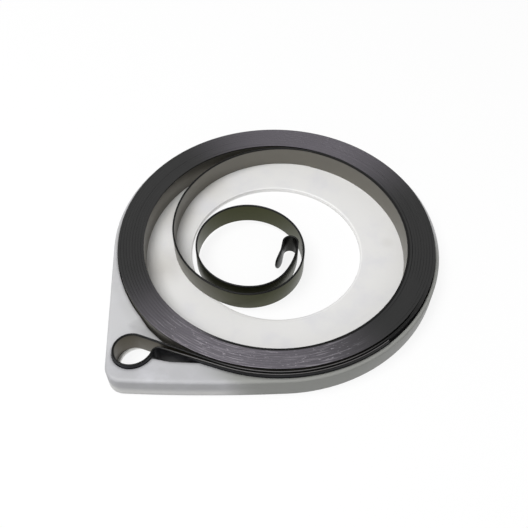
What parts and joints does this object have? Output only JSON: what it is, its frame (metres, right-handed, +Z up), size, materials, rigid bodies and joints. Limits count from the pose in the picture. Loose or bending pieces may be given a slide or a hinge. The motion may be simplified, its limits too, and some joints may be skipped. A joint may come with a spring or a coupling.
{
  "type": "recoil starter spring",
  "caption": "Flat steel recoil spring, wound into an open round plastic cassette with an anchor eye in one corner and a hooked coil in the middle.",
  "frame": {"origin": "centre of the hub opening, on the underside of the cassette", "axes": "+Z up, away from the floor of the cassette; the corner with the anchor eye points to -X and -Y"},
  "size_m": [0.0928, 0.0944, 0.008],
  "materials": {
    "nylon": "moulded, satin, natural white",
    "spring_steel": "blued and oiled, dark grey"
  },
  "bodies": {
    "root": {"cassette": "nylon", "spring_strip": "spring_steel"}
  },
  "joints": []
}
